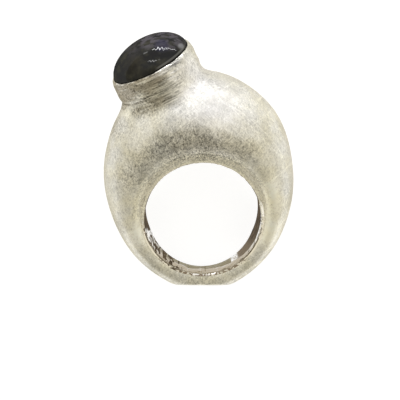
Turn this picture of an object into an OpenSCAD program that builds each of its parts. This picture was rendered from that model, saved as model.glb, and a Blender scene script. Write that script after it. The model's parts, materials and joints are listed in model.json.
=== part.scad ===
// Gemstone ring: a heavy domed band with a round cup that leans to one side and holds a high cabochon.
// The ring is shaped standing on its foot: X to the right, Y along the finger, Z up through the dome.
// It is stored lying on its back, as it comes to rest, with its origin at the centre of the finger hole.

/* [Finger hole] */
// Diameter of the finger hole
finger_d = 17.5; // [16.5:0.1:18.4]
// Width of the polished bevel round each edge of the hole, where it is narrowest
bevel_w = 0.25; // [0.15:0.05:0.35]

/* [Band and dome] */
// Thickness of the dome above the hole
dome_wall = 13.1; // [12:0.1:14.5]
// Depth of the dome from front to back
dome_depth = 17; // [15:0.1:19]
// Depth of the band under the finger, front to back
band_depth = 6.6; // [5.5:0.1:7.5]
// Distance from the centre of the hole down to the flat filed on the band
foot_drop = 10.75; // [10.4:0.05:11.2]

/* [Cup] */
// Outer diameter of the cup
cup_d = 13.2; // [12.8:0.1:14]
// Height of the cup's straight wall
cup_h = 3.3; // [3:0.1:4]
// Distance of the rim's centre from the centre of the hole
cup_reach = 24.5; // [24.2:0.1:26]
// Angle of the rim's centre round the hole, to the left of the top
cup_angle = 18.4; // [14:0.1:22]
// Distance of the rim's centre forward of the middle of the ring
cup_forward = 0.9; // [0:0.1:1.5]
// Lean of the cup to the left
lean_left = 26; // [20:0.5:30]
// Lean of the cup towards the front
lean_front = 6; // [0:0.5:10]

/* [Stone] */
// Girdle diameter of the cabochon
stone_d = 12.2; // [11.6:0.1:12.3]
// Height of its top above the rim of the cup
stone_rise = 3.6; // [2.5:0.1:4.5]

/* [Hidden] */
$fn = 96;

// Sections round the hole, one row every 30 degrees, clockwise from the top: the wall outside the hole,
// the share of that wall where the section is deepest, the share of that depth left at the hole's edge,
// the squareness of the outer corners, where 2 is an ellipse, and how many times the bevel is widened
WALL = 0;
DEEPEST = 1;
EDGE = 2;
SQUARE = 3;
BEVEL = 4;
SECTIONS = [
    [dome_wall, 0.32, 0.67, 2.0, 1.5],
    [10.9, 0.33, 0.68, 2.0, 2.0],
    [7.0, 0.35, 0.75, 2.1, 2.5],
    [4.4, 0.38, 0.86, 2.2, 1.8],
    [3.2, 0.40, 0.93, 2.4, 1.1],
    [3.0, 0.35, 0.97, 2.8, 1.0],
    [3.6, 0.25, 0.97, 3.0, 1.0],
    [3.0, 0.35, 0.97, 2.8, 1.0],
    [3.5, 0.40, 0.93, 2.4, 1.1],
    [5.1, 0.38, 0.86, 2.2, 1.8],
    [8.3, 0.35, 0.75, 2.1, 2.5],
    [12.0, 0.33, 0.68, 2.0, 2.0]
];

finger_r = finger_d / 2;
// How far the swept band reaches into the hole before the hole is bored
bore_stock = 0.6;

// The back of the ring touches the floor along one plane, so its half depth changes evenly with height
dome_deepest = finger_r + SECTIONS[0][WALL] * SECTIONS[0][DEEPEST];
band_deepest = finger_r + SECTIONS[6][WALL] * SECTIONS[6][DEEPEST];
depth_slope = (dome_depth - band_depth) / 2 / (dome_deepest + band_deepest);
mid_half_depth = dome_depth / 2 - depth_slope * dome_deepest;
rest_tilt = atan(depth_slope);

// Steps of the sweep: sections round the hole, and on a section the outer half and each side of the hole
sweep_steps = 72;
outer_steps = 18;
inner_steps = 4;
// The patch of the sweep that the cup's neck grows out of: degrees round the hole and round the section
patch_from = -50;
patch_to = 15;
patch_side = 70;

// The cup's own axes: to its right, to its back and out of its rim
cup_x = [cos(lean_left), 0, sin(lean_left)];
cup_y = [-sin(lean_front) * sin(lean_left), cos(lean_front), sin(lean_front) * cos(lean_left)];
cup_z = [-cos(lean_front) * sin(lean_left), -sin(lean_front), cos(lean_front) * cos(lean_left)];
rim_centre = [-cup_reach * sin(cup_angle), -cup_forward, cup_reach * cos(cup_angle)];
// The neck: how far it stands in under the cup's wall, and how far it reaches up inside the cup's floor
neck_set_in = 0.15;
neck_overlap = 0.4;
neck_r = cup_d / 2 - neck_set_in;
// Steps of each line over the dome to the neck, and up the neck
apron_steps = 3;
neck_steps = 6;
// Where the neck meets the dome, as an angle at a point on the cup's axis deep in the dome:
// to the right, to the back, to the left and to the front
neck_root_depth = 11.5;
NECK_MEETS = [50, 56, 53, 56];
// The angle over which the neck's line takes the direction of the dome, and the pull of that direction
neck_flow = 3;
neck_pull = 0.4;

// The pocket for the stone, and the rim that is rounded in over the stone's edge to a thin lip
stone_gap = 0.06;
pocket_depth = 1.6;
girdle_drop = 0.8;
rim_fall = 1.3;
lip_w = 0.12;
rim_step = 15;
stone_step = 5;

// Smooth closed curve through one column of a table, at an angle round it
function around(rows, column, angle) =
    let(
        count = len(rows),
        at = angle / (360 / count),
        first = floor(at),
        f = at - first,
        v = [for (k = [-1:2]) let(row = rows[((first + k) % count + count) % count])
            is_list(row) ? row[column] : row]
    )
    v[1] + f / 2 * (v[2] - v[0]
        + f * (2 * v[0] - 5 * v[1] + 4 * v[2] - v[3] + f * (3 * (v[1] - v[2]) + v[3] - v[0])));

function outer_radius(angle) = finger_r + around(SECTIONS, WALL, angle);
function deepest_radius(angle) =
    finger_r + around(SECTIONS, WALL, angle) * around(SECTIONS, DEEPEST, angle);
function half_depth(angle) = mid_half_depth + depth_slope * deepest_radius(angle) * cos(angle);

// Quarter of a squared ellipse: how far out and how deep at a turn from -90, the front, to 90, the back
function squared(value, power) = sign(value) * pow(abs(value), 2 / power);

// One section as radius and depth, from the bevel at the front round the outside to the bevel at the back
function section(angle) =
    let(
        deepest = deepest_radius(angle),
        depth = half_depth(angle),
        rise = outer_radius(angle) - deepest,
        power = around(SECTIONS, SQUARE, angle),
        edge = around(SECTIONS, EDGE, angle),
        bevel = bevel_w * around(SECTIONS, BEVEL, angle),
        edge_turn = acos(edge),
        inward = (deepest - finger_r - bevel) / sin(edge_turn),
        bore_side = [finger_r - bore_stock, edge * depth - bevel - bore_stock],
        half_inner = [for (k = [0:inner_steps]) let(turn = edge_turn * (1 - k / inner_steps))
            [deepest - inward * sin(turn), depth * cos(turn)]],
        outer = [for (k = [1:outer_steps - 1]) let(turn = -90 + 180 * k / outer_steps)
            [deepest + rise * squared(cos(turn), power), depth * squared(sin(turn), power)]]
    )
    concat(
        [[bore_side.x, -bore_side.y]],
        [for (p = half_inner) [p.x, -p.y]],
        outer,
        [for (k = [inner_steps:-1:0]) half_inner[k]],
        [bore_side]
    );

// A point of the ring from its angle round the hole, its radius and its depth
function place(angle, p) = [p.x * sin(angle), p.y, p.x * cos(angle)];

// True inside the outer skin of the dome
function in_dome(p) =
    let(
        angle = atan2(p.x, p.z),
        deepest = deepest_radius(angle),
        power = around(SECTIONS, SQUARE, angle),
        out = max(0, norm([p.x, p.z]) - deepest) / (outer_radius(angle) - deepest),
        deep = abs(p.y) / half_depth(angle)
    )
    pow(out, power) + pow(deep, power) < 1;

// Where a ray from inside the dome leaves it, by halving the stretch between near and far
function leaves_dome(from, along, near = 0, far = 20, halvings = 24) =
    let(mid = (near + far) / 2)
    halvings == 0 ? from + mid * along
    : in_dome(from + mid * along) ? leaves_dome(from, along, mid, far, halvings - 1)
    : leaves_dome(from, along, near, mid, halvings - 1);

function cup_point(v) = rim_centre + v.x * cup_x + v.y * cup_y + v.z * cup_z;
function ray(turn, swing) =
    cos(turn) * cup_z + sin(turn) * (cos(swing) * cup_x + sin(swing) * cup_y);
function unit(v) = v / norm(v);
function bezier(a, b, c, d, t) =
    pow(1 - t, 3) * a + 3 * t * pow(1 - t, 2) * b + 3 * t * t * (1 - t) * c + t * t * t * d;

// One line up the neck, from a point of the patch's edge over the dome to where the neck starts,
// then in one curve that leaves the dome flush and ends upright inside the cup's floor
function neck_line(from) =
    let(
        root = cup_point([0, 0, -neck_root_depth]),
        swing = atan2((from - rim_centre) * cup_y, (from - rim_centre) * cup_x),
        meets = around(NECK_MEETS, 0, swing),
        foot = leaves_dome(root, ray(meets, swing)),
        flow = leaves_dome(root, ray(meets - neck_flow, swing)) - foot,
        top = cup_point([neck_r * cos(swing), neck_r * sin(swing), neck_overlap - cup_h]),
        pull = norm(foot - top) * neck_pull
    )
    concat(
        [for (k = [1:apron_steps - 1])
            leaves_dome(root, unit(from + (foot - from) * k / apron_steps - root))],
        [for (k = [0:neck_steps])
            bezier(foot, foot + pull * unit(flow), top - pull * cup_z, top, k / neck_steps)]
    );

// The band and dome with the neck growing out of a patch of them, one closed skin
module domed_band() {
    step = 360 / sweep_steps;
    rows = [for (i = [0:sweep_steps - 1]) let(angle = i * step - 180)
        [for (p = section(angle)) place(angle, p)]];
    width = len(rows[0]);
    grid = [for (row = rows) each row];
    row_from = (patch_from + 180) / step;
    row_to = (patch_to + 180) / step;
    middle = (width - 1) / 2;
    col_from = middle - patch_side / (180 / outer_steps);
    col_to = middle + patch_side / (180 / outer_steps);
    function at(i, j) = (i % sweep_steps) * width + j % width;
    rim = concat(
        [for (i = [row_from:row_to - 1]) at(i, col_from)],
        [for (j = [col_from:col_to - 1]) at(row_to, j)],
        [for (i = [row_to:-1:row_from + 1]) at(i, col_to)],
        [for (j = [col_to:-1:col_from + 1]) at(row_from, j)]
    );
    count = len(rim);
    lines = [for (k = rim) neck_line(grid[k])];
    rings = [for (r = [0:len(lines[0]) - 1]) [for (line = lines) line[r]]];
    first = len(grid);
    apex = first + count * len(rings);
    polyhedron(
        points = concat(grid, [for (ring = rings) each ring], [cup_point([0, 0, neck_overlap - cup_h])]),
        faces = concat(
            [for (i = [0:sweep_steps - 1]) for (j = [0:width - 1])
                if (!(i >= row_from && i < row_to && j >= col_from && j < col_to))
                    each [
                        [at(i, j), at(i + 1, j + 1), at(i + 1, j)],
                        [at(i, j), at(i, j + 1), at(i + 1, j + 1)]
                    ]],
            [for (k = [0:count - 1]) let(n = (k + 1) % count) each [
                [rim[k], first + n, rim[n]],
                [rim[k], first + k, first + n]
            ]],
            [for (r = [0:len(rings) - 2]) for (k = [0:count - 1])
                let(a = first + r * count, n = (k + 1) % count) each [
                    [a + k, a + count + n, a + n],
                    [a + k, a + count + k, a + count + n]
                ]],
            [for (k = [0:count - 1]) let(a = apex - count)
                [a + k, apex, a + (k + 1) % count]]
        )
    );
}

// Moves from the cup's own axes to the standing ring
module in_cup() {
    translate(rim_centre) rotate([lean_front, -lean_left, 0]) children();
}

// The cup: a straight wall rounded in at the rim, and a thick floor
module cup() {
    r = cup_d / 2;
    lip_r = stone_radius_at(0) + stone_gap;
    top_r = lip_r + lip_w;
    pocket_r = stone_d / 2 + stone_gap;
    rotate_extrude() polygon(concat(
        [[0, -cup_h], [r, -cup_h]],
        [for (turn = [0:rim_step:90])
            [top_r + (r - top_r) * cos(turn), rim_fall * (sin(turn) - 1)]],
        [[lip_r, 0], [pocket_r, -girdle_drop], [pocket_r, -pocket_depth], [0, -pocket_depth]]
    ));
}

function stone_radius_at(height) =
    stone_d / 2 * sqrt(1 - pow((height + girdle_drop) / (stone_rise + girdle_drop), 2));

// A round cabochon: a short upright girdle under a high dome
module stone() {
    reach = stone_rise + girdle_drop;
    rotate_extrude() polygon(concat(
        [[0, stone_gap - pocket_depth], [stone_d / 2, stone_gap - pocket_depth]],
        [for (turn = [0:stone_step:90])
            [stone_d / 2 * cos(turn), reach * sin(turn) - girdle_drop]]
    ));
}

// Lays the standing ring on its back, with its front up and the dome away from the viewer
module lying() {
    rotate([rest_tilt - 90, 0, 0]) children();
}

module ring_body() {
    color("silver") lying() difference() {
        union() {
            domed_band();
            in_cup() cup();
        }
        rotate([90, 0, 0]) cylinder(h = 2 * dome_depth, r = finger_r, center = true);
        translate([0, 0, -foot_drop - dome_depth]) cube(2 * dome_depth, center = true);
    }
}

module cabochon() {
    color("darkslategray") lying() in_cup() stone();
}

ring_body();
cabochon();
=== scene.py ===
"""A gemstone ring lying on its back, with a dark cabochon in a leaning cup.

The silver is satin outside and polished in the finger hole. All sizes are in millimetres until MM turns
them into metres. The ring's own frame has X to the right, Y towards the stone and Z up, out of the front
of the ring, with the origin at the centre of the finger hole.
"""

import json
import math

import bmesh
import bpy
from mathutils import Matrix, Vector

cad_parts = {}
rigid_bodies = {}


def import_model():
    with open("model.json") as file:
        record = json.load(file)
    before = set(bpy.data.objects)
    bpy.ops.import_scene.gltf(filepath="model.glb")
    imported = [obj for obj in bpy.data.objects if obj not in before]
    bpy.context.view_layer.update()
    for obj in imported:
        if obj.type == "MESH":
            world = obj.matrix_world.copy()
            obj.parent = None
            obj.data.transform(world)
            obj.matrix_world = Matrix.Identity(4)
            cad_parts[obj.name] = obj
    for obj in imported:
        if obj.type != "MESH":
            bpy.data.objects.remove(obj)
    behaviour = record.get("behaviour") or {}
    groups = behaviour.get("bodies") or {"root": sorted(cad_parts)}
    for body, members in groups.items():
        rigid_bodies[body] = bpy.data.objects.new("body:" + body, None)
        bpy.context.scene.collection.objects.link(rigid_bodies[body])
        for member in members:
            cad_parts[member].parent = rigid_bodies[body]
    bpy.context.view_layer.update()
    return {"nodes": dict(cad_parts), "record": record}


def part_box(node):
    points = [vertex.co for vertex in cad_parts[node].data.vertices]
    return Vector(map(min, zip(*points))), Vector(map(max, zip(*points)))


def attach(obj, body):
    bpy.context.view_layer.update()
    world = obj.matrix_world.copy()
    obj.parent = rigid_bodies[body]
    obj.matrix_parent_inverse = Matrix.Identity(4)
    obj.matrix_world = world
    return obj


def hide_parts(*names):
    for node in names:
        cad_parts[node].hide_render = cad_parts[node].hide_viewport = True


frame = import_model()
MM = 0.001

# The finger hole, from the frame: its radius, its axis towards the front, and the axis's lean from upright
BORE = next(m for m in frame["record"]["mounts"] if m["name"] == "finger_bore")
FINGER_R = BORE["dims"]["r_mm"]
FINGER_AXIS = Vector(BORE["axis"])
TILT = math.atan2(-FINGER_AXIS.y, FINGER_AXIS.z)
FLOOR_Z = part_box("ring_body")[0].z

# The cup: its radius, the distance and angle of its rim's centre from the hole in the standing ring, how far
# forward that centre is, the cup's lean, and its sides
CUP_R = 6.6
CUP_REACH = 24.5
CUP_ANGLE = 18.4
CUP_FORWARD = 0.9
LEAN_LEFT = 26
LEAN_FRONT = 6
CUP_SIDES = 200

# The cup's wall: how far down the rounding of its rim begins, how far down the wall ends, and its steps
RIM_FALL = 1.3
WALL_END = 2.5
WALL_STEPS = 10

# The radius on top of the rim, the lip inside it, and the pocket for the stone
RIM_TOP_R = 6.26
LIP_R = 6.08
LIP_DOWN = 0.03
POCKET_R = 6.16
POCKET_DEPTH = 1.6

# The skirt under the wall, inside the body: the radius and the height from the rim of each step
SKIRT = [(6.60, -2.70), (6.58, -2.90)]

# The rim and the stone sit tipped forward and to the side, and the wall follows in equal shares, one over
# each of these heights
RIM_TIP = math.radians(4.3)
RIM_TURN = math.radians(-1.1)
TIPPED_OVER = (-1.6, -1.2, -0.8, -0.5)

# How firmly the wall is drawn to the body below each height, how proud it stands there, and how deep the
# skirt's end is sunk in the body
DRAWN_BELOW = [(-2.0, 0.25), (-2.2, 0.6), (-2.4, 1)]
WALL_PROUD = 0.012
SKIRT_SUNK = 0.04

# The stone: its radius, its height over the rim, how far its girdle and its base are under the rim, and how
# far its peak is pushed to the right, and in how many steps
STONE_R = 6.1
STONE_RISE = 3.42
GIRDLE_DROP = 0.3
STONE_BASE = 1.54
PEAK_RIGHT = 0.3
PEAK_STEPS = 10

# How much light the stone mirrors, the same from every side
STONE_GLOSS = 0.026

# How far under the rim the body ends, inside the cup, and the size of the voxels that work out its facets
BODY_TOP = 1.9
VOXEL = 0.22

# The groove under the cup, where it was soldered on: how far under the rim it is, how far it spreads up and
# down, how far out it reaches, and the share of its width that it closes in to, left of each x
GROOVE_DOWN = 3.45
GROOVE_SPREAD = 0.35
GROOVE_REACH = 9
GROOVE = [(4.5, 0.975), (2.5, 0.96), (0.5, 0.95)]

# The polished liner of the finger hole: the width of the ring of metal round the hole, how proud it stands,
# how much larger the body's own hole is all round, and the length and sides of the drill for both
LINER_W = 0.42
LINER_PROUD = 0.04
BODY_HOLE_ROOM = 0.15
DRILL_LONG = 24
DRILL_SIDES = 192

# The back of the hole's low side is eased with a thinner drill held at an angle, from EASE_FROM along the
# finger's axis backwards: the drill's radius, length and turn, and the y and z of its middle
EASE_R = 8.4
EASE_LONG = 8
EASE_TURN = math.radians(14)
EASE_FROM = -0.9
EASE_BACK = EASE_FROM - EASE_R * math.sin(EASE_TURN) - EASE_LONG / 2 * math.cos(EASE_TURN)
EASE_UP = EASE_R * math.cos(EASE_TURN) - FINGER_R - EASE_LONG / 2 * math.sin(EASE_TURN)
EASE_MIDDLE = Vector(FINGER_AXIS.yz) * EASE_BACK + Vector((FINGER_AXIS.z, -FINGER_AXIS.y)) * EASE_UP

# The camera in front of the standing ring: the hole's centre in a picture 400 pixels wide, the scale there,
# the distance from the hole, how far the camera is raised and swung round, the nearest and farthest that it
# sees, and the width of its sensor
PICTURE = 400
HOLE_AT = (202.3, 212.4)
PIXELS_PER_MM = 6.555
CAMERA_AWAY = 220
CAMERA_RAISED = math.radians(13)
CAMERA_SWUNG = math.radians(-1.2)
CAMERA_SEES = (10, 10000)
SENSOR = 36

# From the standing ring to the lying one, and from the cup's and the stone's own axes to the lying ring
LAY = Matrix.Rotation(TILT - math.pi / 2, 4, "X")
RIM_CENTRE = Vector((
    -CUP_REACH * math.sin(math.radians(CUP_ANGLE)),
    -CUP_FORWARD,
    CUP_REACH * math.cos(math.radians(CUP_ANGLE)),
))
CUP = (
    LAY
    @ Matrix.Translation(RIM_CENTRE * MM)
    @ Matrix.Rotation(math.radians(-LEAN_LEFT), 4, "Y")
    @ Matrix.Rotation(math.radians(LEAN_FRONT), 4, "X")
)
CUP_AXIS = (CUP.to_3x3() @ Vector((0, 0, 1))).normalized()
STONE = CUP @ Matrix.Rotation(RIM_TIP, 4, "X") @ Matrix.Rotation(RIM_TURN, 4, "Y")
STONE_AXIS = (STONE.to_3x3() @ Vector((0, 0, 1))).normalized()


# Modelling helpers

def only(piece):
    """Leaves one object selected and active."""
    bpy.ops.object.select_all(action="DESELECT")
    piece.select_set(True)
    bpy.context.view_layer.objects.active = piece


def added(name):
    """Names the primitive or copy that was just added."""
    piece = bpy.context.active_object
    piece.name = piece.data.name = name
    only(piece)
    return piece


def edit(piece):
    only(piece)
    bpy.ops.object.mode_set(mode="EDIT")
    bpy.ops.mesh.select_mode(type="FACE")


def leave():
    bpy.ops.object.mode_set(mode="OBJECT")


def pick(piece, kind, test):
    """Selects the faces whose normal passes the test, or the edges or points whose place passes it."""
    bpy.ops.mesh.select_all(action="DESELECT")
    bpy.ops.mesh.select_mode(type=kind)
    mesh = bmesh.from_edit_mesh(piece.data)
    if kind == "FACE":
        found = [face for face in mesh.faces if test(face.normal)]
    elif kind == "EDGE":
        found = [edge for edge in mesh.edges if test((edge.verts[0].co + edge.verts[1].co) / 2)]
    else:
        found = [point for point in mesh.verts if test(point.co)]
    for item in found:
        item.select_set(True)
    mesh.select_flush_mode()
    bmesh.update_edit_mesh(piece.data)


def cut(place, direction, **settings):
    """Bisects the whole piece with a plane."""
    bpy.ops.mesh.select_all(action="SELECT")
    bpy.ops.mesh.bisect(plane_co=place, plane_no=direction, **settings)


def raise_wall(r, z, steps):
    """Extrudes the round face that is selected to the radius and height of each step, about the Z axis."""
    for to_r, to_z in steps:
        bpy.ops.mesh.extrude_region_move(TRANSFORM_OT_translate={"value": (0, 0, (to_z - z) * MM)})
        share = to_r / r
        bpy.ops.transform.resize(value=(share, share, 1), center_override=(0, 0, 0))
        r, z = to_r, to_z


def tip(share):
    """Tips what is selected forward and to the side by a share of the rim's own tip."""
    for angle, axis in ((RIM_TIP, "X"), (RIM_TURN, "Y")):
        bpy.ops.transform.rotate(
            value=-angle * share, orient_axis=axis, orient_type="GLOBAL", center_override=(0, 0, 0))


def grade(piece, name, test, weight=1):
    """Gives the points that pass the test a weight in a group, which is added where it is new."""
    pick(piece, "VERT", test)
    if name not in piece.vertex_groups:
        bpy.ops.object.vertex_group_add()
        piece.vertex_groups.active.name = name
    bpy.context.scene.tool_settings.vertex_group_weight = weight
    bpy.ops.object.vertex_group_assign()


def modify(piece, kind, **settings):
    """Adds a modifier, gives it its settings and applies it."""
    only(piece)
    modifier = piece.modifiers.new(kind.title(), kind)
    for name, value in settings.items():
        setattr(modifier, name, value)
    bpy.ops.object.modifier_apply(modifier=modifier.name)


def drill_out(piece):
    """Cuts the cylinder that was just added out of the piece."""
    drill = added("drill")
    modify(piece, "BOOLEAN", operation="DIFFERENCE", object=drill, solver="EXACT")
    bpy.data.objects.remove(drill)


def lumps(name, size):
    """A cloudy texture for the Displace modifier, with lumps of about this many millimetres."""
    texture = bpy.data.textures.new(name, "CLOUDS")
    texture.noise_scale = size * MM
    texture.noise_depth = 2
    return texture


def put(piece, place):
    """Moves a piece from the axes it was modelled in to its place on the ring, in its mesh."""
    piece.matrix_world = place
    only(piece)
    bpy.ops.object.transform_apply(location=True, rotation=True, scale=True)


def smooth(piece, angle):
    """Shades a piece smooth, apart from edges sharper than this many degrees."""
    only(piece)
    bpy.ops.object.shade_smooth_by_angle(angle=math.radians(angle))


# Pieces

def casting():
    """A merged copy of the frame's silver, eased behind the hole, that other pieces are worked out of."""
    only(frame["nodes"]["ring_body"])
    bpy.ops.object.duplicate()
    piece = added("casting")
    bpy.ops.object.parent_clear(type="CLEAR_KEEP_TRANSFORM")
    bpy.ops.object.transform_apply(location=True, rotation=True, scale=True)
    edit(piece)
    bpy.ops.mesh.select_all(action="SELECT")
    bpy.ops.mesh.remove_doubles(threshold=0.002 * MM)
    leave()
    bpy.ops.mesh.primitive_cylinder_add(
        vertices=128, radius=EASE_R * MM, depth=EASE_LONG * MM, rotation=(TILT - EASE_TURN, 0, 0),
        location=(0, *(EASE_MIDDLE * MM)))
    drill_out(piece)
    return piece


def make_body(cast):
    """Band, dome and neck: the casting without its cup, with its facets worked out."""
    only(cast)
    bpy.ops.object.duplicate()
    body = added("silver_body")
    edit(body)
    cut(CUP @ Vector((0, 0, -BODY_TOP * MM)), CUP_AXIS, clear_outer=True, use_fill=True)
    for down in (GROOVE_DOWN - GROOVE_SPREAD, GROOVE_DOWN, GROOVE_DOWN + GROOVE_SPREAD):
        cut(CUP @ Vector((0, 0, -down * MM)), CUP_AXIS)
    from_cup = CUP.inverted()

    def in_groove(place, side):
        """Whether a point is on the groove's middle line, left of this x in the cup's own axes."""
        x, y, z = (from_cup @ place) / MM
        return abs(z + GROOVE_DOWN) < 0.01 and x < side and math.hypot(x, y) < GROOVE_REACH

    for side, share in GROOVE:
        pick(body, "VERT", lambda at: in_groove(at, side))
        bpy.ops.transform.resize(
            value=(share, share, share), center_override=CUP @ Vector((0, 0, -GROOVE_DOWN * MM)))
    leave()
    bpy.ops.mesh.primitive_cylinder_add(
        vertices=DRILL_SIDES, radius=(FINGER_R + BODY_HOLE_ROOM) * MM, depth=DRILL_LONG * MM,
        rotation=(TILT, 0, 0))
    drill_out(body)
    modify(body, "REMESH", mode="VOXEL", voxel_size=VOXEL * MM)
    modify(body, "SMOOTH", factor=0.5, iterations=14)
    modify(body, "DISPLACE", texture=lumps("dents", 5), strength=0.10 * MM, mid_level=0.5)
    smooth(body, 180)
    return body


def make_liner(cast):
    """The polished finger hole: a tube trimmed by the casting, so that its ends are the hole's bevels."""
    bpy.ops.mesh.primitive_cylinder_add(
        vertices=DRILL_SIDES, radius=FINGER_R * MM, depth=DRILL_LONG * MM, end_fill_type="NOTHING",
        rotation=(TILT, 0, 0))
    liner = added("polished_hole")
    bpy.ops.object.transform_apply(location=True, rotation=True, scale=True)
    modify(liner, "SOLIDIFY", thickness=LINER_W * MM, offset=1)
    modify(liner, "BOOLEAN", operation="INTERSECT", object=cast, solver="EXACT")
    modify(liner, "DISPLACE", strength=LINER_PROUD * MM, mid_level=0)
    smooth(liner, 30)
    return liner


def make_cup(body):
    """The bezel cup, raised from a disc: an uneven wall closed in to a thin lip, a pocket, and a skirt."""
    wall = WALL_END - RIM_FALL
    bpy.ops.mesh.primitive_cylinder_add(
        vertices=CUP_SIDES, radius=CUP_R * MM, depth=wall * MM, end_fill_type="NGON",
        location=(0, 0, -(WALL_END + RIM_FALL) / 2 * MM))
    cup = added("cup")
    bpy.ops.object.transform_apply(location=True, rotation=True, scale=True)
    edit(cup)
    for step in range(1, WALL_STEPS):
        cut((0, 0, (-WALL_END + wall * step / WALL_STEPS) * MM), (0, 0, 1))

    pick(cup, "FACE", lambda normal: normal.z > 0.9)
    rounded = []
    for turn in range(9, 91, 9):
        closing = (CUP_R - RIM_TOP_R) * math.cos(math.radians(turn))
        rounded.append((RIM_TOP_R + closing, RIM_FALL * (math.sin(math.radians(turn)) - 1)))
    pocket = [(LIP_R, -LIP_DOWN), (POCKET_R, -GIRDLE_DROP), (POCKET_R, -POCKET_DEPTH)]
    raise_wall(CUP_R, -RIM_FALL, rounded + pocket)
    for level in TIPPED_OVER:
        pick(cup, "VERT", lambda at: at.z > level * MM)
        tip(1 / len(TIPPED_OVER))
    pick(cup, "FACE", lambda normal: normal.z < -0.9)
    raise_wall(CUP_R, -WALL_END, SKIRT)

    for level, weight in DRAWN_BELOW:
        grade(cup, "wall", lambda at: at.z < level * MM, weight)
    grade(cup, "lip", lambda at: at.z > -0.6 * MM and at.to_2d().length > (LIP_R - 0.02) * MM)
    grade(cup, "skirt", lambda at: at.z < (SKIRT[-1][1] + 0.02) * MM)
    leave()
    modify(cup, "DISPLACE", texture=lumps("pressed", 2.4), strength=0.20 * MM, mid_level=0.5)
    modify(cup, "DISPLACE", texture=lumps("lip", 0.9), strength=0.16 * MM, mid_level=0.6, vertex_group="lip")
    put(cup, CUP)
    for group, proud in (("wall", WALL_PROUD), ("skirt", -SKIRT_SUNK)):
        modify(cup, "SHRINKWRAP", target=body, wrap_method="NEAREST_SURFACEPOINT", offset=proud * MM,
               vertex_group=group)
    smooth(cup, 60)
    return cup


def make_stone():
    """The cabochon: half a sphere stretched to its height, its peak pushed right, on a short girdle."""
    bpy.ops.mesh.primitive_uv_sphere_add(segments=128, ring_count=80, radius=STONE_R * MM)
    stone = added("dark_cabochon")
    edit(stone)
    cut((0, 0, 0.0001 * MM), (0, 0, 1), clear_inner=True, use_fill=False)
    bpy.ops.mesh.select_all(action="SELECT")
    reach = STONE_RISE + GIRDLE_DROP
    bpy.ops.transform.resize(value=(1, 1, reach / STONE_R), center_override=(0, 0, 0))
    pick(stone, "EDGE", lambda at: at.z < 0.01 * MM)
    bpy.ops.mesh.extrude_edges_move(
        TRANSFORM_OT_translate={"value": (0, 0, (GIRDLE_DROP - STONE_BASE) * MM)})
    bpy.ops.mesh.edge_face_add()
    for step in range(PEAK_STEPS):
        height = reach * math.sin(math.radians(90 / PEAK_STEPS * step + 4))
        pick(stone, "VERT", lambda at: at.z > height * MM)
        bpy.ops.transform.translate(value=(PEAK_RIGHT / PEAK_STEPS * MM, 0, 0))
    bpy.ops.mesh.select_all(action="SELECT")
    bpy.ops.transform.translate(value=(0, 0, -GIRDLE_DROP * MM))
    leave()
    put(stone, STONE)
    smooth(stone, 50)
    return stone


# Shader maths

class Sum:
    """A value in a material that Python's + - * / and abs work on, each adding a Math node."""

    def __init__(self, tree, socket):
        self.tree = tree
        self.socket = socket

    def math(self, operation, *values):
        return self.tree.node("ShaderNodeMath", {"operation": operation}, values)[0]

    def __add__(self, other):
        return self.math("ADD", self, other)

    def __radd__(self, other):
        return self.math("ADD", other, self)

    def __sub__(self, other):
        return self.math("SUBTRACT", self, other)

    def __rsub__(self, other):
        return self.math("SUBTRACT", other, self)

    def __neg__(self):
        return 0 - self

    def __mul__(self, other):
        return self.math("MULTIPLY", self, other)

    def __rmul__(self, other):
        return self.math("MULTIPLY", other, self)

    def __truediv__(self, other):
        return self.math("DIVIDE", self, other)

    def __rtruediv__(self, other):
        return self.math("DIVIDE", other, self)

    def __abs__(self):
        return self.math("ABSOLUTE", self)

    def root(self):
        return self.math("SQRT", self)

    def at_most(self, other):
        return self.math("MINIMUM", self, other)

    def at_least(self, other):
        return self.math("MAXIMUM", self, other)

    def between(self, low, high):
        """0 up to low, 1 from high on and smooth between them, or falling where low is the larger one."""
        return self.tree.node(
            "ShaderNodeMapRange", {"interpolation_type": "SMOOTHSTEP"},
            {"Value": self, "From Min": low, "From Max": high})[0]

    def within(self, start, full, still_full, end):
        """1 from full to still_full, 0 before start and after end, and smooth between them."""
        return self.between(start, full) * self.between(end, still_full)


class Outputs:
    """A node's outputs, by name or in order."""

    def __init__(self, tree, made):
        self.tree = tree
        self.made = made

    def __getitem__(self, key):
        return Sum(self.tree, self.made.outputs[key])


class Tree:
    """The nodes of a material or of the world: node() adds any node."""

    def __init__(self, made):
        made.use_nodes = True
        self.made = made
        self.nodes = made.node_tree.nodes
        self.links = made.node_tree.links

    def node(self, kind, settings, inputs):
        """Adds a node, sets it, then joins its inputs, given by name or in order. Returns its outputs."""
        new = self.nodes.new(kind)
        for name, value in settings.items():
            setattr(new, name, value)
        pairs = inputs.items() if isinstance(inputs, dict) else enumerate(inputs)
        for key, value in pairs:
            if isinstance(value, Sum):
                self.links.new(value.socket, new.inputs[key])
            else:
                new.inputs[key].default_value = value
        return Outputs(self, new)

    def dot(self, first, second):
        """The dot product of two vectors."""
        return self.node("ShaderNodeVectorMath", {"operation": "DOT_PRODUCT"}, [first, second])["Value"]

    def blend_value(self, share, first, second):
        """A value between two values."""
        return self.node(
            "ShaderNodeMix", {"data_type": "FLOAT", "clamp_factor": True},
            {"Factor": share, 2: first, 3: second})[0]

    def blend(self, share, first, second):
        """A colour between two colours."""
        return self.node(
            "ShaderNodeMix", {"data_type": "RGBA", "clamp_factor": True},
            {"Factor": share, 6: first, 7: second})[2]


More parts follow.
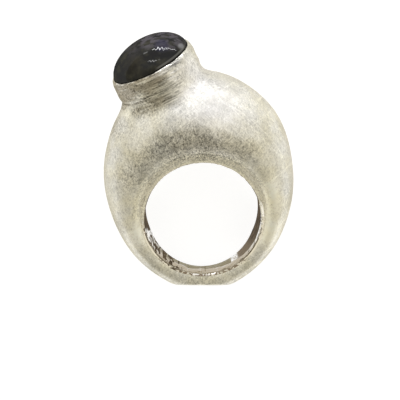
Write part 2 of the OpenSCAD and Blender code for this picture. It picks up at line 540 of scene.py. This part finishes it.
class Material(Tree):
    def __init__(self, name, **constants):
        super().__init__(bpy.data.materials.new(name))
        self.shader = self.nodes["Principled BSDF"]
        for socket, value in constants.items():
            self.shader.inputs[socket.replace("_", " ")].default_value = value
        self.place = self.node("ShaderNodeTexCoord", {}, {})["Object"]
        parts = self.node("ShaderNodeSeparateXYZ", {}, [self.place])
        self.x, self.y, self.z = parts["X"] / MM, parts["Y"] / MM, parts["Z"] / MM

    def mapped(self, turn=(0, 0, 0), stretch=(1, 1, 1)):
        """The place on the piece in millimetres, in turned axes, stretched along each of them."""
        return self.node(
            "ShaderNodeMapping", {"vector_type": "TEXTURE"},
            {"Vector": self.place, "Rotation": turn, "Scale": tuple(s * MM for s in stretch)})["Vector"]

    def noise(self, size, detail=2, rough=0.5, **where):
        """Smooth noise with features of about this many millimetres."""
        return self.node(
            "ShaderNodeTexNoise", {"noise_dimensions": "3D"},
            {"Vector": self.mapped(**where), "Scale": 1 / size, "Detail": detail, "Roughness": rough})["Fac"]

    def shade(self, colour, share):
        """A colour made lighter or darker."""
        return self.node(
            "ShaderNodeVectorMath", {"operation": "SCALE"}, {"Vector": colour, "Scale": share})["Vector"]

    def along(self, axis):
        """How far the place is from the origin along an axis, in millimetres."""
        return self.dot(self.place, tuple(axis)) / MM

    def above(self, axis, centre):
        """How far the place is from a centre along an axis, in millimetres."""
        return self.along(axis) - axis.dot(centre) / MM

    def from_hole(self):
        """How far the place is outside the finger hole, and how far towards the front, in millimetres."""
        forward = self.along(FINGER_AXIS)
        away = (self.x * self.x + self.y * self.y + self.z * self.z - forward * forward).root()
        return away - FINGER_R, forward

    def patch(self, x, y, size, soft=0.6):
        """1 round a place on the front, in millimetres, and 0 this far away from it."""
        across, up = self.x - x, self.y - y
        away = (across * across + up * up).root()
        return (1 - away.between(size * (1 - soft), size)) * self.z.between(-4, 0)

    def patches(self, table):
        """Soft patches added up, from a table of their places, sizes and strengths."""
        return sum(self.patch(x, y, size, 0.9) * strength for x, y, size, strength in table)

    def bump(self, height, strength, distance):
        inputs = {"Strength": strength, "Distance": distance * MM, "Height": height}
        return self.node("ShaderNodeBump", {}, inputs)["Normal"]

    def dull(self, share, colour):
        """Puts this share of a surface without gloss, in a colour, over the shader."""
        coat = self.node(
            "ShaderNodeBsdfPrincipled", {},
            {"Base Color": colour, "Specular IOR Level": 0.0, "Roughness": 1.0})
        both = self.node("ShaderNodeMixShader", {}, [share, Sum(self, self.shader.outputs[0]), coat[0]])
        self.links.new(both[0].socket, self.nodes["Material Output"].inputs["Surface"])

    def finish(self, **sockets):
        """Joins each of these values to the shader's socket of that name."""
        for name, value in sockets.items():
            self.links.new(value.socket, self.shader.inputs[name.replace("_", " ")])
        return self.made


# Marks on the metal

def cells(m, size, **where):
    """Scattered cells of about this many millimetres: how far off a cell's middle is, and its own colour."""
    found = m.node(
        "ShaderNodeTexVoronoi", {"feature": "F1"}, {"Vector": m.mapped(**where), "Scale": 1 / size})
    return found["Distance"], m.node("ShaderNodeSeparateColor", {}, [found["Color"]])


def hairlines(m, turn, gap, length, width):
    """Long fine scratches: where a noise drawn out along a line passes its middle."""
    level = m.noise(gap, detail=0, turn=turn, stretch=(1, length, length))
    return 1 - abs(level - 0.5).between(width * 0.3, width)


def strokes(m, turn, length, share, width=0.14):
    """Short scratches, light ones and dark ones, each in this share of long thin cells."""
    chosen = cells(m, width, turn=(0, 0, math.radians(turn)), stretch=(1, length / width, 1))[1]
    return [chosen[channel].between(0.95 - share, 1.05 - share) for channel in ("Red", "Green")]


def fine_sand(m):
    """The grain of the satin: a value between 0 and 1 that changes from cell to cell, in two sizes."""
    return sum(cells(m, size)[1]["Green"] * 0.5 for size in (0.14, 0.20))


def pits(m, cell, size, share):
    """Small round pits, in this share of the cells of about this many millimetres."""
    away, chosen = cells(m, cell)
    return (1 - away.between(size * 0.4, size)) * chosen["Red"].between(1 - share, 1.02 - share)


# The satin silver

# Tarnished patches, which also carry painted shade on the dome's dark band, on the neck under the cup and on
# the cup: across, up, size and strength of each patch, in millimetres
STAINS_AND_PAINTED_SHADE = [
    (-6.2, 9.4, 3.0, 0.75), (-8.2, 8.0, 3.0, 0.5), (-3.2, 10.4, 3.2, 0.68), (0.2, 10.5, 2.8, 0.44),
    (-1.7, 12.1, 1.7, 0.30), (2.8, 11.2, 1.8, 0.34), (3.2, 9.9, 2.9, 0.40), (5.8, 9.2, 2.6, 0.5),
    (7.6, 8.2, 2.6, 0.2), (-10.6, 5.4, 3.2, 0.6), (0.5, 8.7, 3.4, 0.55), (-3.5, 8.6, 2.6, 0.5),
    (4.2, 8.3, 2.6, 0.25), (-9.4, 15.0, 1.8, 1.0), (-7.6, 15.6, 2.0, 1.0), (-5.7, 16.3, 1.9, 0.7),
    (-12.0, 17.4, 2.8, 0.9), (0, -10, 6.5, 0.22), (-9.9, 17.9, 2.4, 0.8), (-8.0, 18.7, 2.6, 1),
    (-6.4, 19.6, 2.0, 1), (-12.6, 12.6, 2.6, 0.6), (-11.6, 16.6, 2.4, 0.9), (-12.6, 18.8, 2.6, 0.5),
]
# Painted light and shade: lighter beside the finger hole and under the cup, and lighter and darker patches
# that shape the dome's highlight and its sides: across, up, size and how much
PAINTED_LIGHT_AND_SHADE = [
    (9.8, 2.2, 3.4, 0.25), (9.2, -3.0, 4.5, 0.24), (-9.5, 2.6, 3.2, 0.08), (-9.7, -3.0, 3.2, 0.20),
    (-12.4, -3.0, 3.0, -0.06), (-12.4, 8.6, 3.0, -0.10), (12.6, 3.0, 3.0, -0.10), (2.2, 12.0, 2.6, 0.14),
    (-7.8, 9.0, 2.4, 0.10), (4.0, 17.6, 3.2, -0.20), (0.8, 18.5, 3.1, -0.36), (3.0, 15.8, 4.0, -0.07),
    (-1.0, 17.3, 2.4, -0.08), (-1.4, 19.5, 1.6, 0.14), (3.2, 14.2, 3.8, 0.12), (-3.7, 14.8, 2.6, -0.24),
    (-2.2, 18.1, 2.0, 0.22), (10.9, 14.6, 1.8, 0.14), (-3.2, 13.6, 2.0, 0.10), (4.4, 9.2, 2.4, 0.06),
    (0, 8.8, 4.5, -0.08), (-5.5, 7.6, 3.5, -0.06), (5.5, 7.2, 3.5, -0.06), (-5.9, 20.6, 1.4, 0.26),
    (-11.2, 14.9, 1.4, 0.15), (-5.4, 12.3, 2.6, -0.14), (-1.0, 12.0, 2.0, -0.10), (-9.8, 9.0, 2.4, -0.06),
    (-5.4, 17.7, 2.0, -0.14), (-9.6, 14.8, 1.8, -0.14), (-5.4, 9.0, 2.2, -0.08), (-8.6, 6.1, 2.8, -0.12),
    (-12.2, -1.5, 3.0, -0.10), (-7.6, -8.6, 2.4, -0.12), (-11.9, 2.4, 2.6, -0.10), (7.8, -5.6, 2.2, -0.12),
    (10.1, 4.2, 1.8, 0.16), (10.2, 2.2, 1.8, 0.18), (10.2, 0.2, 1.8, 0.20), (10.2, -1.8, 1.8, 0.20),
    (9.9, -3.6, 1.8, 0.16), (-10.9, 4.6, 1.6, 0.10), (-10.8, 1.8, 1.8, 0.16), (-10.6, -0.8, 1.8, 0.20),
    (-10.1, -2.6, 1.6, 0.18), (-9.5, -4.2, 1.6, 0.10), (-13.0, 4.4, 2.2, -0.10),
]
# How it is brushed: the turn from upright and the length of each set of short scratches
BRUSHED = [(8, 0.9), (-52, 1.2), (48, 1.1), (-20, 0.7)]

PALE_SATIN = (0.87, 0.855, 0.79, 1)
WARM_SATIN = (0.83, 0.80, 0.68, 1)
# The whiter tone of the painted highlight
HIGHLIGHT_SATIN = (0.86, 0.845, 0.83, 1)
RIM_SATIN = (0.84, 0.80, 0.63, 1)
# Colours of the tarnished patches, which are also painted shade on the dome's dark band and under the cup
DOME_TARNISH_AND_SHADE = (0.36, 0.33, 0.265, 1)
CUP_TARNISH_AND_SHADE = (0.32, 0.28, 0.21, 1)
GREY_TARNISH_AND_SHADE = (0.30, 0.30, 0.30, 1)
IN_PITS = (0.09, 0.08, 0.06, 1)


def satin_silver():
    """Brushed, sanded and tarnished silver, with painted shade on the neck, cup and dome, and painted light
    by the hole.
    """
    m = Material("satin_silver", Metallic=1.0, Specular_Tint=(0.60, 0.57, 0.50, 1))
    grain = fine_sand(m)
    mottle = m.noise(0.35, detail=2)
    cloud = m.noise(2.6, detail=3)

    # Places: the cup, its lip and the lip's right end, the groove under the cup, the rim of the finger hole,
    # the band beside its front, its back, and the dome's highlight, given a painted whiter tone and calmer
    # grain
    on_cup = m.y.between(14.5, 16.5) * m.x.between(-2, -4)
    above = m.above(CUP_AXIS, CUP.translation)
    lip = above.between(-1.4, -0.7) * m.x.within(-6.6, -5.4, -4.0, -2.6)
    lip_end_shade = above.between(-1.4, -0.7) * m.x.between(-4.9, -4.1)
    seam_shade = above.within(-3.9, -3.55, -3.4, -3.1) * m.x.between(-3.5, -6)
    off, forward = m.from_hole()
    rim = off.between(2.3, 1.5) * forward.between(0, 1) * m.y.between(-2, 1)
    ridge_shade = off.within(1.25, 1.55, 1.70, 2.00) * forward.between(0, 1) * m.y.between(-4, 0)
    back = off.between(1.7, 1.3) * forward.between(0, -1) * (-m.y).between(3, 6)
    # A painted whiter tone where the dome's highlight falls, up to the cup, and calmer grain there
    white = (m.patch(0.8, 15.4, 9.0, 1) + m.patch(-3.0, 20.0, 4.5, 1)).at_most(1)
    calm = m.patch(1.6, 16.0, 6.5, 0.9)

    # Tarnished patches and painted shade, drawn out round the cup by the file, and pits
    round_cup = m.node("ShaderNodeCombineXYZ", {}, [m.x * 0.4, m.along(CUP_AXIS) * 3, m.z * 0.4])[0]
    filed = m.node("ShaderNodeTexNoise", {}, {"Vector": round_cup, "Scale": 1.0, "Detail": 3})[0]
    filed = filed.between(0.35, 0.60)
    stain_and_shade_patches = m.patches(STAINS_AND_PAINTED_SHADE) * m.blend_value(m.y.between(13, 15), 1, 0.35 + filed * 0.95)
    stain_and_shade = (stain_and_shade_patches * (0.25 + cloud * 1.5)).at_most(1)
    pitted = pits(m, 0.70, 0.26, 0.25) * (0.15 + stain_and_shade * 1.3).at_most(1)

    tone = m.blend(cloud.between(0.3, 0.7), PALE_SATIN, WARM_SATIN)
    tone = m.blend(white * 0.8, tone, HIGHLIGHT_SATIN)
    tarnish_and_shade = m.blend(m.y.between(14, 17.5), DOME_TARNISH_AND_SHADE, CUP_TARNISH_AND_SHADE)
    tarnish_and_shade = m.blend(m.patch(-6.6, 9.4, 3.0, 0.9), tarnish_and_shade, GREY_TARNISH_AND_SHADE)
    tone = m.blend(stain_and_shade * m.blend_value(m.y.between(14, 16), 0.56, 0.78), tone, tarnish_and_shade)
    tone = m.blend(rim * 0.6, tone, RIM_SATIN)

    speckle = (grain - 0.5) * (0.30 + stain_and_shade * 0.75) + (mottle - 0.5) * (0.1 + stain_and_shade * 0.3)
    speckle = speckle * (1 - on_cup * 0.65) * (1 + rim * 1.2 - calm * 0.65)

    # Brushing: short scratches all over, long ones except on the left, and filed ones on the cup
    sets = [strokes(m, turn, length, 0.16) for turn, length in BRUSHED]
    light_lines = sum(light for light, dark in sets).at_most(1.5)
    dark_lines = sum(dark for light, dark in sets).at_most(1.5)
    long_lines = hairlines(m, (0, 0.2, 0.9), 1.9, 9, 0.022) + hairlines(m, (0, -0.2, 2.2), 2.3, 9, 0.020)
    cup_light, cup_dark = strokes(m, -64, 2.8, 0.26)
    lines = light_lines * (0.08 + stain_and_shade * 0.10) - dark_lines * (0.09 + stain_and_shade * 0.22)
    lines = lines + long_lines.at_most(1) * m.x.between(-9, -3) * 0.14
    lines = lines + (light_lines * 0.04 - dark_lines * 0.07) * white
    lines = lines * (1 - on_cup * 0.6) + (cup_light * 0.20 - cup_dark * 0.34) * on_cup
    lines = lines * (1 - calm * 0.5)

    # The brightness, with the painted light and shade of the patches added
    share = 0.88 + speckle + lines + m.patches(PAINTED_LIGHT_AND_SHADE)
    # Painted shade: darker lip, to tone down the light its rounding catches, and a groove where the cup
    # overhangs
    share = share - lip * (0.22 + filed * 0.24) - lip_end_shade * 0.12 - seam_shade * filed * 0.36
    # Painted shade at the back of the hole's low side, and on the band by its front, to dim a light line
    # there
    share = share - back * 0.55 - ridge_shade * 0.15
    colour = m.blend(pitted * 0.85, m.shade(tone, share.at_least(0.2).at_most(1.2)), IN_PITS)
    normal = m.bump(grain - pitted * 0.8, 0.7, 0.025)
    return m.finish(Base_Color=colour, Roughness=0.33 + mottle * 0.12, Normal=normal)


# The polished silver

PALE_WALL = (0.90, 0.88, 0.83, 1)
PINKISH_WALL = (0.48, 0.42, 0.325, 1)
OLIVE_WALL = (0.28, 0.245, 0.17, 1)
FACET_GLINT = (0.95, 0.94, 0.92, 1)
# The bevel: a painted highlight on its low side, and painted shade on its high side
LIT_LOW_BEVEL = (0.92, 0.88, 0.80, 1)
SHADED_HIGH_BEVEL = (0.70, 0.67, 0.56, 1)
HIGH_EDGE = (0.80, 0.765, 0.63)
# Colours of the painted dark reflection on the wall
DARK_REFLECTION_BROWN = (0.085, 0.062, 0.040, 1)
WARM_REFLECTION_BROWN = (0.17, 0.125, 0.08, 1)
LOW_REFLECTION_BROWN = (0.26, 0.205, 0.145, 1)
DULL_OLIVE = (0.36, 0.315, 0.20, 1)


def polished_silver():
    """Bright where the hole's edge is bevelled, with a painted highlight low down, and a painted dark, wavy
    reflection inside.
    """
    m = Material("polished_silver", Metallic=1.0, Roughness=0.08)
    off, forward = m.from_hole()
    wave = m.noise(1.6, detail=1)
    crumple = m.noise(0.5, detail=1, turn=(TILT, 0, 0), stretch=(1, 1, 6))
    nicks = m.noise(0.4, detail=1)

    # Places on the wall: its right and left sides, under a painted dark reflection, and on its low side a
    # painted glint and an olive part behind
    inside = 5.9 + m.y * 0.31 - forward
    right = m.x.between(5.0, 5.8) * (inside + wave * 1.5).between(2.3, 2.8)
    left = (-m.x).between(2.6, 3.8)
    left_high = left * (m.y + 2.8).between(0, 0.6)
    low = (-m.y).between(3.0, 7.0) * (1 - right)
    behind = (forward + wave * 3).between(2.6, 2.1)
    # A painted glint: a near-white patch on the low side, which the dull coat leaves bare
    facet_glint = m.x.within(4.3, 4.5, 5.3, 5.5) * (-m.y).between(5.0, 5.5) * behind
    facet_glint = facet_glint * (0.45 + nicks.between(0.58, 0.50) * 0.55)
    # Where the painted dark reflection lies, as a dull coat
    dark = (right + left_high + left * crumple.between(0.48, 0.46)).at_most(1)
    dark = dark * m.y.between(4.0, 2.0) * (1 - facet_glint)
    olive = low * behind * (1 - facet_glint)

    # The bevel, lighter on the hole's low side as a painted highlight, the high part of it, covered dull,
    # and a painted shadow line round the hole's low side
    edge = off.between(0.03, 0.08) * forward.between(-0.9, -0.6)
    high_edge = edge * (m.y + left * 3.5).between(0.5, 3.0)
    # A painted shadow: a dull dark line in dashes round the hole's low edge
    rim_shadow_line = off.between(0.06, 0.12) * nicks.between(0.46, 0.51) * (-m.y).between(6.0, 8.0)

    wall = m.blend(low, PALE_WALL, PINKISH_WALL)
    wall = m.blend(olive, wall, OLIVE_WALL)
    wall = m.blend(facet_glint, wall, FACET_GLINT)
    bevel = m.blend(m.y.between(-2.5, 2.5), LIT_LOW_BEVEL, SHADED_HIGH_BEVEL)
    colour = m.blend(edge, wall, bevel)
    normal = m.bump((wave + crumple * 0.3 * left) * (1 - edge * 0.8), 0.9, 0.6)

    # The colours of the painted dark reflection and shadow line: dull, dark and warm, lighter low down
    reflection_brown = m.blend(wave.between(0.3, 0.75), DARK_REFLECTION_BROWN, WARM_REFLECTION_BROWN)
    reflection_brown = m.blend((-m.y).between(3.5, 5.5) * (1 - left), reflection_brown, LOW_REFLECTION_BROWN)
    dull_colour = m.blend(olive * (1 - dark), reflection_brown, DULL_OLIVE)
    dull_colour = m.blend(high_edge, dull_colour, m.shade(HIGH_EDGE, 0.62 + fine_sand(m) * 0.7))
    dull_share = (dark + olive * 0.75) * (1 - edge) + rim_shadow_line + high_edge
    m.dull(dull_share.at_most(1) * 0.97, dull_colour)
    return m.finish(Base_Color=colour, Normal=normal)


# The stone

NEARLY_BLACK = (0.002, 0.002, 0.0015, 1)
BROWN_CLOUD = (0.026, 0.0245, 0.014, 1)
MAUVE_VEINS = (0.062, 0.056, 0.066, 1)
BLUE_SPOT = (0.012, 0.011, 0.050, 1)
RUSTY_SIDE = (0.018, 0.014, 0.007, 1)
PALE_GLINT = (0.22, 0.22, 0.23, 1)
GIRDLE_HIGHLIGHT = (0.15, 0.15, 0.14, 1)
GAP_SHADOW = (0.002, 0.002, 0.002, 1)


def dark_stone():
    """A nearly black stone, clouded and veined near its top, with painted highlights and a painted shadow at
    the cup.
    """
    m = Material("dark_stone", Roughness=0.05, IOR=1.5)
    cloud = m.noise(1.7, detail=4, rough=0.6)
    veins = m.noise(0.8, detail=3, turn=(0.4, 0.2, 0.9), stretch=(1, 2.5, 1))
    high = m.patch(-4.9, 25.8, 2.9) + m.patch(-8.0, 25.2, 1.9) + m.patch(-10.4, 23.9, 2.0, 1) * 0.4
    above = m.above(STONE_AXIS, STONE.translation)
    # A painted highlight: a pale line along the girdle's edge on the right
    line = above.within(0.14, 0.22, 0.40, 0.52) * m.x.within(-7.2, -6.2, -3.0, -2.4)
    # A painted shadow: black and dull in the gap where the stone meets the cup
    gap = above.between(0.14, 0.02)
    colour = m.blend(cloud.between(0.40, 0.66), NEARLY_BLACK, BROWN_CLOUD)
    colour = m.blend(high.at_most(1) * veins.between(0.38, 0.60), colour, MAUVE_VEINS)
    colour = m.blend(m.patch(-6.0, 24.3, 1.4) * 0.5, colour, BLUE_SPOT)
    colour = m.blend(m.patch(-10.0, 21.8, 2.6, 1) * cloud, colour, RUSTY_SIDE)
    # A painted highlight: a small pale glint near the top
    colour = m.blend(m.patch(-3.2, 24.3, 0.6) * veins, colour, PALE_GLINT)
    colour = m.blend(line * 0.55, colour, GIRDLE_HIGHLIGHT)
    colour = m.blend(gap, colour, GAP_SHADOW)
    mirrored = m.node("ShaderNodeFresnel", {}, {"IOR": 1.5})[0]
    m.dull((1 - (STONE_GLOSS / mirrored).at_most(1)).at_least(gap), colour)
    return m.finish(Base_Color=colour)


def give(piece, material):
    """Makes this the piece's only material."""
    piece.data.materials.clear()
    piece.data.materials.append(material)


# The floor, the light and the camera

FLOOR_WIDE = 2000

# The lit tubes that the stone mirrors, at this distance from it. Each has two ends, as directions in degrees
# off straight up and round from the right, a width in millimetres and a brightness
LAMP_AWAY = 300
THIN, BRIGHT = 3.2, 64
WIDE, FAINT = 8, 11
ZIGZAG = [
    (86, 110), (86, 106), (80, 103), (88, 100), (74, 95), (85, 93), (72, 87), (81, 84),
    (73, 79), (78, 75), (74, 69), (77, 64), (76, 57), (79, 50),
]
FAINT_ZIGZAG = [(51, 128), (51, 122), (41, 121), (45, 114), (35, 112), (40, 105), (33, 99)]
FAINT_DASH = [(35, 91), (34, 83)]
SHEEN = ((90, 123), (87, 117), 22, 5)


def joined(corners, width, brightness):
    """A tube from each corner of a line to the next."""
    return [(start, end, width, brightness) for start, end in zip(corners, corners[1:])]


def make_floor():
    bpy.ops.mesh.primitive_plane_add(size=FLOOR_WIDE * MM, location=(0, 0, FLOOR_Z))
    floor = added("floor")
    m = Material(
        "pale_floor", Roughness=0.8, Base_Color=(0.3, 0.3, 0.3, 1),
        Emission_Color=(1, 1, 1, 1), Emission_Strength=0.85)
    give(floor, m.made)


def towards(polar, turn):
    """The direction this many degrees off straight up, turned this many degrees from the right round Z."""
    p, t = math.radians(polar), math.radians(turn)
    return Vector((math.sin(p) * math.cos(t), math.sin(p) * math.sin(t), math.cos(p)))


def aimed(across, back):
    """The turn of a lamp or camera whose own right and back are these directions."""
    return Matrix((across, back.cross(across), back)).transposed().to_4x4()


def tube(name, start, end, width, brightness):
    """A lit tube between two directions, at one distance from the stone and facing it."""
    stone_at = CUP @ Vector((0, 0, STONE_RISE * MM))
    first = towards(*start) * LAMP_AWAY * MM
    last = towards(*end) * LAMP_AWAY * MM
    light = bpy.data.lights.new(name, "AREA")
    light.shape = "RECTANGLE"
    light.size = (last - first).length
    light.size_y = width * MM
    light.energy = brightness * math.pi * light.size * light.size_y
    lamp = bpy.data.objects.new(name, light)
    bpy.context.scene.collection.objects.link(lamp)
    back = (first + last).normalized()
    across = (last - first).normalized()
    across = (across - back * across.dot(back)).normalized()
    lamp.matrix_world = Matrix.Translation(stone_at + (first + last) / 2) @ aimed(across, back)


def make_light():
    """A white tent, lighter over the dome and at the sides, darker under the camera, and the lit tubes."""
    world = bpy.data.worlds.new("studio")
    bpy.context.scene.world = world
    tent = Tree(world)
    out = tent.node("ShaderNodeTexCoord", {}, {})["Generated"]

    def panel(polar, turn, near, far):
        """1 up to near degrees from a direction, and 0 from far degrees on."""
        side = tent.dot(out, towards(polar, turn))
        return side.between(math.cos(math.radians(far)), math.cos(math.radians(near)))

    top = panel(58, 90, 25, 68)
    sides = panel(42, 0, 0, 42) + panel(42, 180, 0, 42)
    low = tent.node("ShaderNodeSeparateXYZ", {}, [out])["Z"].between(0.25, 0)
    light = 0.67 + top * 0.29 + sides * 0.24 + low * 0.12
    light = light - panel(35, -100, 0, 55) * 0.12 - panel(75, -90, 0, 50) * 0.10
    tint = tent.blend(top * 1.3, (1, 0.95, 0.80, 1), (0.98, 0.975, 0.98, 1))
    shine = tent.node("ShaderNodeBackground", {}, {"Color": tint, "Strength": light})[0]
    tent.links.new(shine.socket, tent.nodes["World Output"].inputs["Surface"])

    tubes = joined(ZIGZAG, THIN, BRIGHT)
    for corners in (FAINT_ZIGZAG, FAINT_DASH):
        tubes += joined(corners, WIDE, FAINT)
    for i, (start, end, width, brightness) in enumerate([*tubes, SHEEN]):
        tube(f"tube_{i}", start, end, width, brightness)
    bpy.context.scene.view_settings.view_transform = "Standard"


def make_camera():
    camera = bpy.data.cameras.new("camera")
    camera.sensor_width = SENSOR
    camera.lens = SENSOR * PIXELS_PER_MM * CAMERA_AWAY / PICTURE
    camera.shift_x = (PICTURE / 2 - HOLE_AT[0]) / PICTURE
    camera.shift_y = (HOLE_AT[1] - PICTURE / 2) / PICTURE
    camera.clip_start, camera.clip_end = (distance * MM for distance in CAMERA_SEES)
    holder = bpy.data.objects.new("camera", camera)
    bpy.context.scene.collection.objects.link(holder)
    level = math.cos(CAMERA_RAISED)
    back = Vector((
        math.sin(CAMERA_SWUNG) * level,
        -math.cos(CAMERA_SWUNG) * level,
        math.sin(CAMERA_RAISED),
    ))
    across = Vector((math.cos(CAMERA_SWUNG), math.sin(CAMERA_SWUNG), 0))
    holder.matrix_world = LAY @ Matrix.Translation(back * CAMERA_AWAY * MM) @ aimed(across, back)
    bpy.context.scene.camera = holder


# Everything together

make_floor()
make_light()
make_camera()

cast = casting()
body = make_body(cast)
liner = make_liner(cast)
bpy.data.objects.remove(cast)
cup = make_cup(body)
stone = make_stone()

silver = satin_silver()
give(body, silver)
give(cup, silver)
give(liner, polished_silver())
give(stone, dark_stone())

for piece, slot in ((body, "silver"), (liner, "silver"), (cup, "silver"), (stone, "stone")):
    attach(piece, "root")
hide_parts("ring_body")
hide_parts("cabochon")
